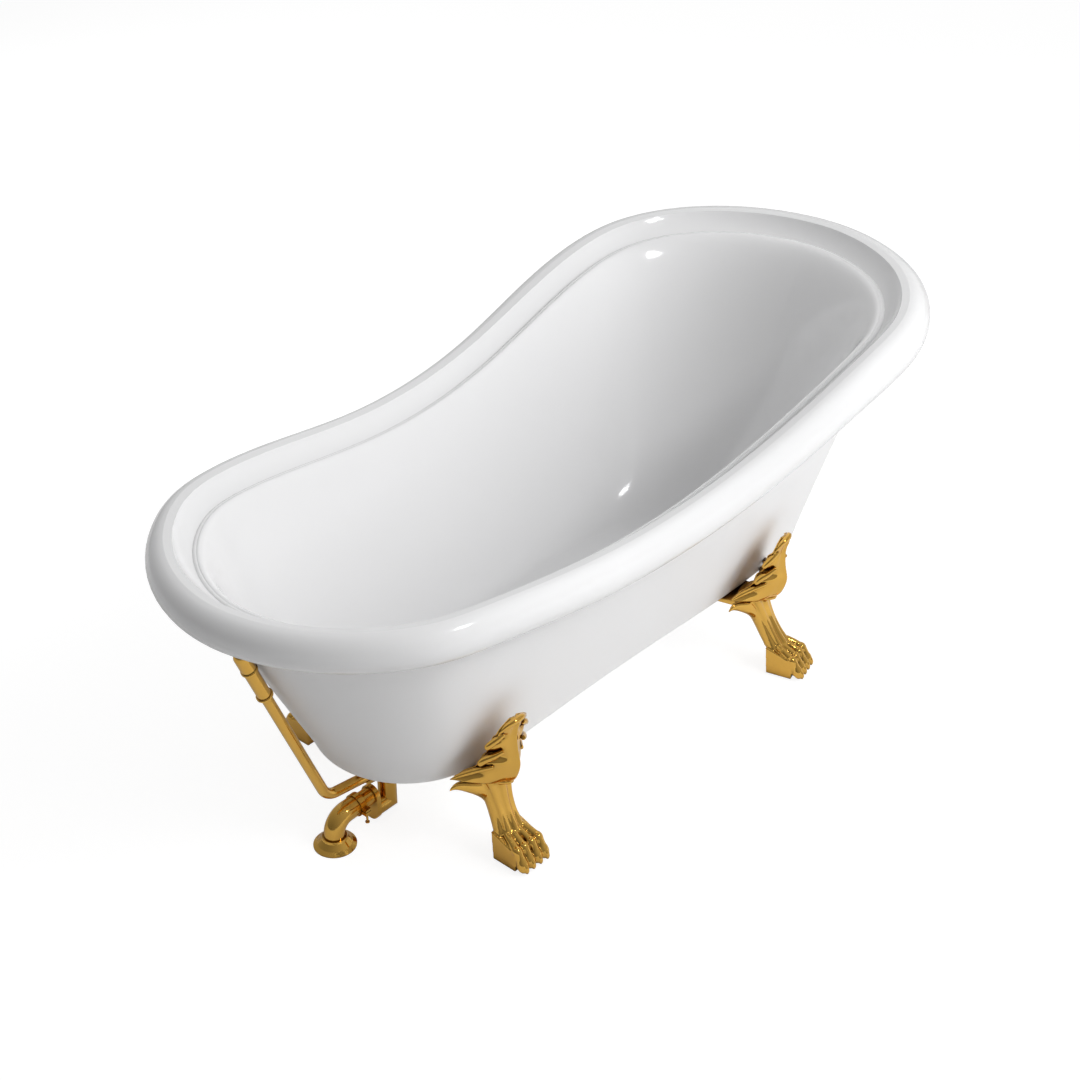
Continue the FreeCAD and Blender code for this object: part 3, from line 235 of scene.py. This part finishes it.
def limb(stations, flat=1.0, axis=Z_AXIS):
    """Tapered limb through (x, y, z, radius) stations, round or squeezed to flat along axis."""
    line = curve_through(stations, SPAN_STEPS)
    centres, radii = line[:, :3], np.maximum(line[:, 3], LIMB_THINNEST)
    along = np.gradient(centres, axis=0)
    along /= np.linalg.norm(along, axis=1)[:, None]
    side = np.cross(along, np.asarray(axis, float))
    side /= np.linalg.norm(side, axis=1)[:, None]
    over = np.cross(side, along)
    turns = 2 * np.pi * np.arange(LIMB_POINTS) / LIMB_POINTS
    rings = []
    for c, s, o, r in zip(centres, side, over, radii):
        rings.append(c + r * np.outer(np.cos(turns), s) + flat * r * np.outer(np.sin(turns), o))
    return loft(rings)


def both_sides(stations, **shape):
    """The same limb to the left and to the right."""
    return [limb([(side * x, y, z, r) for x, y, z, r in stations], **shape) for side in (-1, 1)]


def box_part(low, high):
    (x0, y0, z0), (x1, y1, z1) = low, high
    return loft([[(x0, y0, z), (x1, y0, z), (x1, y1, z), (x0, y1, z)] for z in (z0, z1)])


def fuse(name, parts, material):
    """One skin over overlapping closed parts, as if they were cast together."""
    points, faces, start = [], [], 0
    for p, f in parts:
        points.append(np.asarray(p, float))
        faces += [tuple(i + start for i in face) for face in f]
        start += len(p)
    made = mesh_object(name, np.concatenate(points) * MM, faces, material)
    shape = bmesh.new()
    shape.from_mesh(made.data)
    bmesh.ops.recalc_face_normals(shape, faces=shape.faces)
    shape.to_mesh(made.data)
    shape.free()
    remesh = made.modifiers.new("skin", "REMESH")
    remesh.mode = "VOXEL"
    remesh.voxel_size = SKIN_VOXEL * MM
    smooth = made.modifiers.new("soften", "SMOOTH")
    smooth.factor = 0.5
    smooth.iterations = SKIN_PASSES
    bpy.context.view_layer.update()
    evaluated = made.evaluated_get(bpy.context.evaluated_depsgraph_get())
    skin = bpy.data.meshes.new_from_object(evaluated)
    skin.name = name
    bpy.data.objects.remove(made)
    skin.materials.clear()
    skin.materials.append(material)
    return skin


# ---------------------------------------------------------------- claw feet
# Foot's own frame, mm: x sideways, y outward from the tub, z up, origin under the paw.
# The upper parts are drawn for the foot end; a foot with a longer reach leans from the paw.
HEEL_Z, BASE_Z = 60.0, 151.0
FOOT_END_REACH, HEAD_END_REACH = 95, 112


def lean_in(points, reach):
    """Points with their upper part moved inboard, so that the foot meets the tub's edge."""
    points = np.array(points, float)
    share = np.clip((points[:, 2] - HEEL_Z) / (BASE_Z - HEEL_Z), 0, 1)
    points[:, 1] -= (reach - FOOT_END_REACH) * share
    return points


# height, middle's distance outward, half width, half depth
LEG = ((158, -68, 42, 27), (150, -65, 38, 26), (140, -62.5, 34, 25), (128, -59, 30.5, 24),
       (112, -53.5, 27.5, 22.5), (95, -47, 26, 22), (78, -40, 26.5, 22.5), (66, -34, 28, 23),
       (56, -29, 30, 23))
LEG_POINTS = 120
# places of the ribs and grooves in degrees from the leg's front, and their half widths in degrees
RIB_TURNS, RIB_HALF = (-38, 0, 38), 11.0
GROOVE_TURNS, GROOVE_HALF = (-57, -19, 19, 57), 8.5
RIB_RISE, GROOVE_DEPTH = 0.05, 0.15  # as shares of the leg's own half width and half depth
GROOVE_SHALLOW = 0.6  # share of the grooves' depth that is left at the higher of these heights
GROOVE_SHALLOW_Z, GROOVE_DEEP_Z = 120, 70


def leg_part():
    """Leg with a smooth back and flanks, and three ribs down its front."""
    turns = 2 * np.pi * np.arange(LEG_POINTS) / LEG_POINTS
    off = np.degrees((turns - np.pi / 2 + np.pi) % (2 * np.pi) - np.pi)
    grooves = sum(np.exp(-((off - g) / GROOVE_HALF) ** 2) for g in GROOVE_TURNS)
    ribs = sum(np.exp(-((off - g) / RIB_HALF) ** 2) for g in RIB_TURNS)
    rings = []
    for z, middle, width, depth in curve_through(LEG, SPAN_STEPS):
        low = np.clip((GROOVE_SHALLOW_Z - z) / (GROOVE_SHALLOW_Z - GROOVE_DEEP_Z), 0, 1)
        deep = GROOVE_SHALLOW + (1 - GROOVE_SHALLOW) * low
        swell = 1 + RIB_RISE * ribs - GROOVE_DEPTH * deep * grooves
        rings.append(np.stack([width * swell * np.cos(turns),
                               middle + depth * swell * np.sin(turns),
                               np.full(len(turns), z)], axis=1))
    return loft(rings)


# rows of the leaf from its lower rim to its top: ridge's distance outward and height;
# edge's distance sideways, outward and height; groove's depth
LEAF = ((-22, 159, 86, -80, 183, 0), (-13, 170, 74, -76, 186, 1), (-7, 183, 60, -68, 192, 3.5),
        (-3, 197, 50, -58, 201, 0), (-2, 209, 50, -52, 213, -1.5), (-4, 221, 37, -44, 224, 5),
        (-6.5, 233, 42, -38, 237, 0), (-8, 246, 46, -33, 251, -1.5), (-8.5, 257, 38, -29, 261, 2),
        (-8.5, 266, 32, -26, 267, 5), (-7, 276, 35, -22, 277, 0), (-4, 286, 33, -19, 286, -0.5),
        (-3, 294, 25, -17, 292, 0), (-7, 301, 9, -15, 299, 0))
LEAF_STEPS, LEAF_POINTS = 8, 73
# across a row, 0 is the ridge and 1 the edge
FOLD_LOW, FOLD_HIGH = 1.35, 1.20  # power of the fold back from the ridge, at these heights
FOLD_LOW_Z, FOLD_HIGH_Z = 180, 240
EDGE_LIFT = 1.6  # power of the rise from the ridge's height to the edge's
CORD_RISE, CORD_HALF = 2.0, 0.07  # cord along the ridge: rise and half width
DIP_DEPTH, DIP_PLACE, DIP_HALF = 1.6, 0.2, 0.12  # dip beside it: depth, place and half width
RUN_START, RUN_SPAN = 0.35, 0.4  # where a groove starts, and how far on it has its full depth
LIP_RISE, LIP_START, LIP_SPAN = 2.0, 0.86, 0.14  # edge that turns up: rise, start and span
LEAF_THICK, LEAF_TAPER = 5.0, 2.4  # thickness at the ridge, and how much less it is at the edge
REAR_SHARE = 0.985  # the rear's width as a share of the front's


def leaf_part():
    """Broad leaf folded along its ridge, with grooves that run in from its lobed edges."""
    across = np.linspace(-1, 1, LEAF_POINTS)
    edge = np.abs(across)
    rings = []
    for ridge, z, edge_x, edge_y, edge_z, groove in curve_through(LEAF, LEAF_STEPS):
        high = np.clip((z - FOLD_LOW_Z) / (FOLD_HIGH_Z - FOLD_LOW_Z), 0, 1)
        power = FOLD_LOW - (FOLD_LOW - FOLD_HIGH) * high
        heights = z + (edge_z - z) * edge ** EDGE_LIFT
        y = ridge + (edge_y - ridge) * edge ** power
        y += CORD_RISE * np.exp(-(across / CORD_HALF) ** 2)
        y -= DIP_DEPTH * np.exp(-((edge - DIP_PLACE) / DIP_HALF) ** 2)
        y -= groove * np.clip((edge - RUN_START) / RUN_SPAN, 0, 1)
        y += LIP_RISE * np.clip((edge - LIP_START) / LIP_SPAN, 0, 1) ** 2
        front = np.stack([edge_x * across, y, heights], axis=1)
        rear = np.stack([edge_x * across * REAR_SHARE, y - LEAF_THICK + LEAF_TAPER * edge, heights],
                        axis=1)
        rings.append(np.concatenate([front, rear[::-1]]))
    return loft(rings)


# two corners of the plate under the tub
SEAT = (-40, -157, 141), (40, -60, 150.6)
# Stations of the limbs round the leaf: distance sideways, distance outward, height, radius.
# horn that grows out of the leg's flank
HORN = ((10, -58, 114, 16), (22, -60, 132, 16), (37, -63, 145.5, 14.5), (52, -68, 154.5, 12),
        (64, -73, 160, 9.5), (74, -77, 162, 7), (82, -80, 160, 3.5), (86, -82, 156, 1.2))
# raised rim from the chin out to the wing's tip
RIM = ((0, -22, 158, 4.5), (14, -29, 161, 4), (32, -43, 167, 3.5), (52, -60, 174, 3),
       (70, -73, 180, 2.5), (86, -81, 182, 1.2))
# half of the rolled top
ROLLED_TOP = ((0, -5.5, 297, 6.2), (10, -7, 296, 5.8), (20, -11.5, 291, 4.6), (29, -16, 283, 3),
              (32, -20, 275, 1.4))
# rounded lobes that curl out of the leaf's edge, from the top down
LOBES = (((22, -15, 275, 4), (32, -20, 268, 5.5), (40, -26, 260, 6), (45, -31, 253, 5.5),
          (46, -34, 249, 4)),
         ((24, -15, 240, 4), (36, -26, 231, 6), (45, -37, 223, 6.8), (50, -43, 216, 6),
          (51, -46, 212, 4)),
         ((34, -29, 206, 4), (47, -45, 200, 5), (60, -59, 194, 5), (73, -71, 188, 3.8),
          (84, -79, 183, 1.5)))
# web behind the ridge, and chin over the leg's front
WEB = ((0, -66, 150, 22), (0, -52, 168, 20), (0, -42, 190, 17), (0, -34, 215, 13),
       (0, -27, 245, 9), (0, -20, 280, 5))
CHIN = ((0, -56, 150, 15), (0, -42, 156, 13), (0, -28, 160, 8), (0, -20, 160, 4.5))


def upper_parts():
    """Seat plate, horns, the leaf's rims and lobes, its web to the leg and its chin."""
    parts = [box_part(*SEAT)] + both_sides(HORN, flat=0.7, axis=Y_AXIS)
    for stations in (RIM, ROLLED_TOP) + LOBES:
        parts += both_sides(stations)
    return parts + [limb(WEB, flat=0.8, axis=X_AXIS), limb(CHIN, flat=0.9)]


# distance outward, height and radius along the cord over the foot, one toe and its claw
CORD = ((-34, 62, 5.4), (-22, 58.5, 6.4), (-8, 53, 7), (4, 47, 7.2), (11, 42.5, 7.4))
TOE = ((8, 43.5, 7.4), (14, 41, 9.4), (20, 34, 7.8), (23, 27, 8.8), (26.5, 19.5, 10.6),
       (27.5, 12.5, 10.6), (26.5, 10.5, 8.5))
CLAW = ((28, 21, 5), (34.5, 17.5, 5), (37.5, 11.5, 4), (37.5, 6.5, 2.6), (37, 4.5, 1.6))
# places of the four toes, as a share of the outer toes' distance sideways
TOES, OUTER_TOE = (-1, -0.34, 0.34, 1), 25.8
# the cords fan out from this share of the toes' distance, over this length from the ankle
ANKLE_SHARE, FAN_LENGTH = 0.55, 45
# distance outward and height round the heel block's side, and half its width
HEEL = ((-34, 2.2), (17, 2.2), (17.5, 36), (8, 42), (-8, 49), (-24, 54.5), (-38, 59))
HEEL_HALF = 34


def paw_parts():
    """Heel block with flat sides, four corded toes that fan from the ankle, and their claws."""
    parts = [loft([[(x, y, z) for y, z in HEEL] for x in (-HEEL_HALF, HEEL_HALF)])]
    for place in TOES:
        sideways, cord = OUTER_TOE * place, []
        for y, z, r in CORD:
            fan = min(max((y - CORD[0][0]) / FAN_LENGTH, 0), 1)
            cord.append((sideways * (ANKLE_SHARE + (1 - ANKLE_SHARE) * fan), y, z, r))
        parts.append(limb(cord, axis=X_AXIS))
        for rows in (TOE, CLAW):
            parts.append(limb([(sideways, y, z, r) for y, z, r in rows], axis=X_AXIS))
    return parts


def make_foot(name, reach):
    """One casting: the soft forms fused as one skin, with the thin leaf let into them."""
    parts = [(lean_in(p, reach), f) for p, f in [leg_part()] + upper_parts() + paw_parts()]
    skin = fuse(name, parts, LOOKS["gold_metal"])
    points, faces = leaf_part()
    points = lean_in(points, reach) * MM
    leaf = mesh_object(name + "_leaf", points, faces, LOOKS["gold_metal"])
    whole = bmesh.new()
    whole.from_mesh(leaf.data)
    bmesh.ops.recalc_face_normals(whole, faces=whole.faces)
    whole.from_mesh(skin)
    whole.to_mesh(skin)
    whole.free()
    bpy.data.objects.remove(leaf)
    skin.polygons.foreach_set("use_smooth", [True] * len(skin.polygons))
    return skin


# reach, toes' turn in degrees, paw's place in mm
FEET = (("foot_end_near", FOOT_END_REACH, 179.4, -421, -267),
        ("foot_end_far", FOOT_END_REACH, 0.6, -421, 267),
        ("head_end_near", HEAD_END_REACH, 194.7, 333, -292),
        ("head_end_far", HEAD_END_REACH, -14.7, 333, 292))
SKINS = {reach: make_foot("claw_foot_%d" % reach, reach)
         for reach in (FOOT_END_REACH, HEAD_END_REACH)}
for place_name, reach, turn, x, y in FEET:
    foot = bpy.data.objects.new("foot_" + place_name, SKINS[reach])
    scene.collection.objects.link(foot)
    foot.location = (x * MM, y * MM, 0)
    foot.rotation_euler = (0, 0, math.radians(turn))
    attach(foot, "tub")
    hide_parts("claw_foot_" + place_name)

# ---------------------------------------------------------------- light, floor and room
# place and aim in m, size in m, power in W, shape, and whether glossy surfaces mirror it
LIGHTS = (("key", (1.5, -3.0, 2.6), (0, 0, 0.4), (4.2, 3.2), 112, "RECTANGLE", False),
          ("fill", (0.3, 3.4, 2.2), (0, 0, 0.4), (3.6, 2.6), 34, "RECTANGLE", False),
          ("lamp", (0.2, -2.1, 2.2), (0, 0, 0.45), (0.42, 0.42), 9, "ELLIPSE", True))
for name, place, aim, size, power, shape, mirrored in LIGHTS:
    light = bpy.data.lights.new(name, "AREA")
    light.shape = shape
    light.size, light.size_y = size
    light.energy = power
    lamp = bpy.data.objects.new(name, light)
    scene.collection.objects.link(lamp)
    lamp.location = place
    lamp.rotation_euler = (Vector(aim) - Vector(place)).to_track_quat("-Z", "Y").to_euler()
    lamp.visible_glossy = mirrored

FLOOR_HALF = 30.0  # m
FLOOR_GREY, FLOOR_ROUGH = (0.8, 0.8, 0.8, 1), 0.9
# what the camera sees of the floor: an even glow, and a faint surface that takes the shadow
FLOOR_GLOW, FLOOR_FAINT = 0.86, (0.24, 0.24, 0.24, 1)

floor_mesh = bpy.data.meshes.new("floor")
floor_shape = bmesh.new()
bmesh.ops.create_grid(floor_shape, x_segments=1, y_segments=1, size=FLOOR_HALF)
floor_shape.to_mesh(floor_mesh)
floor_shape.free()
floor = bpy.data.objects.new("floor", floor_mesh)
scene.collection.objects.link(floor)


def make_floor():
    """White floor that the camera sees as almost pure white, with the tub's soft shadow."""
    material, tree, principled, node = shader("floor")
    principled.inputs["Base Color"].default_value = FLOOR_GREY
    principled.inputs["Roughness"].default_value = FLOOR_ROUGH
    path = node("ShaderNodeLightPath")
    glow = node("ShaderNodeEmission", Strength=FLOOR_GLOW)
    faint = node("ShaderNodeBsdfDiffuse", Color=FLOOR_FAINT)
    mixed = node("ShaderNodeAddShader")
    seen = node("ShaderNodeMixShader")
    tree.links.new(faint.outputs[0], mixed.inputs[0])
    tree.links.new(glow.outputs[0], mixed.inputs[1])
    tree.links.new(path.outputs["Is Camera Ray"], seen.inputs[0])
    tree.links.new(principled.outputs[0], seen.inputs[1])
    tree.links.new(mixed.outputs[0], seen.inputs[2])
    tree.links.new(seen.outputs[0], tree.nodes["Material Output"].inputs["Surface"])
    return material


floor_mesh.materials.append(make_floor())

# the room is brightest past the head end and darkest past the foot end
ROOM_LEVEL, ROOM_SLOPE = 0.44, (0.24, -0.02, 0.10)


def make_world():
    """Room that lights the tub, with plain white behind it for the camera."""
    world = bpy.data.worlds.new("studio")
    world.use_nodes = True
    tree = world.node_tree
    tree.nodes.clear()
    node = node_maker(tree)
    path = node("ShaderNodeLightPath")
    seen = node("ShaderNodeBackground", Color=(1, 1, 1, 1), Strength=1.0)
    room = node("ShaderNodeBackground")
    where = node("ShaderNodeTexCoord")
    along = node("ShaderNodeVectorMath", operation="DOT_PRODUCT")
    along.inputs[1].default_value = ROOM_SLOPE
    level = node("ShaderNodeMath", operation="ADD")
    level.inputs[1].default_value = ROOM_LEVEL
    choice = node("ShaderNodeMixShader")
    out = node("ShaderNodeOutputWorld")
    tree.links.new(where.outputs["Generated"], along.inputs[0])
    tree.links.new(along.outputs["Value"], level.inputs[0])
    tree.links.new(level.outputs[0], room.inputs["Strength"])
    tree.links.new(path.outputs["Is Camera Ray"], choice.inputs[0])
    tree.links.new(room.outputs[0], choice.inputs[1])
    tree.links.new(seen.outputs[0], choice.inputs[2])
    tree.links.new(choice.outputs[0], out.inputs["Surface"])
    return world


scene.world = make_world()

# ---------------------------------------------------------------- camera
CAMERA_PLACE = Vector((-2.2567, -1.9368, 2.2219))  # m
CAMERA_ANGLES = (-48.544, 32.463, -0.05)  # azimuth, elevation and roll, degrees
SENSOR_WIDTH, LENS = 36.0, 63.82  # mm
SHIFT_X, SHIFT_Y = -0.00185, 0.00185  # as shares of the picture's side
CLIP_END = 100.0  # m

camera_data = bpy.data.cameras.new("camera")
camera_data.sensor_width = SENSOR_WIDTH
camera_data.lens = LENS
camera_data.shift_x = SHIFT_X
camera_data.shift_y = SHIFT_Y
camera_data.clip_end = CLIP_END
camera = bpy.data.objects.new("camera", camera_data)
scene.collection.objects.link(camera)
azimuth, elevation, roll = (math.radians(a) for a in CAMERA_ANGLES)
back = Vector((math.sin(azimuth) * math.cos(elevation), -math.cos(azimuth) * math.cos(elevation),
               math.sin(elevation)))
right = Vector((math.cos(azimuth), math.sin(azimuth), 0))
up = back.cross(right)
turned_right = right * math.cos(roll) + up * math.sin(roll)
turned_up = up * math.cos(roll) - right * math.sin(roll)
axes = Matrix((turned_right, turned_up, back)).transposed().to_4x4()
camera.matrix_world = Matrix.Translation(CAMERA_PLACE) @ axes
scene.camera = camera

scene.view_settings.view_transform = "Standard"
scene.view_settings.look = "None"
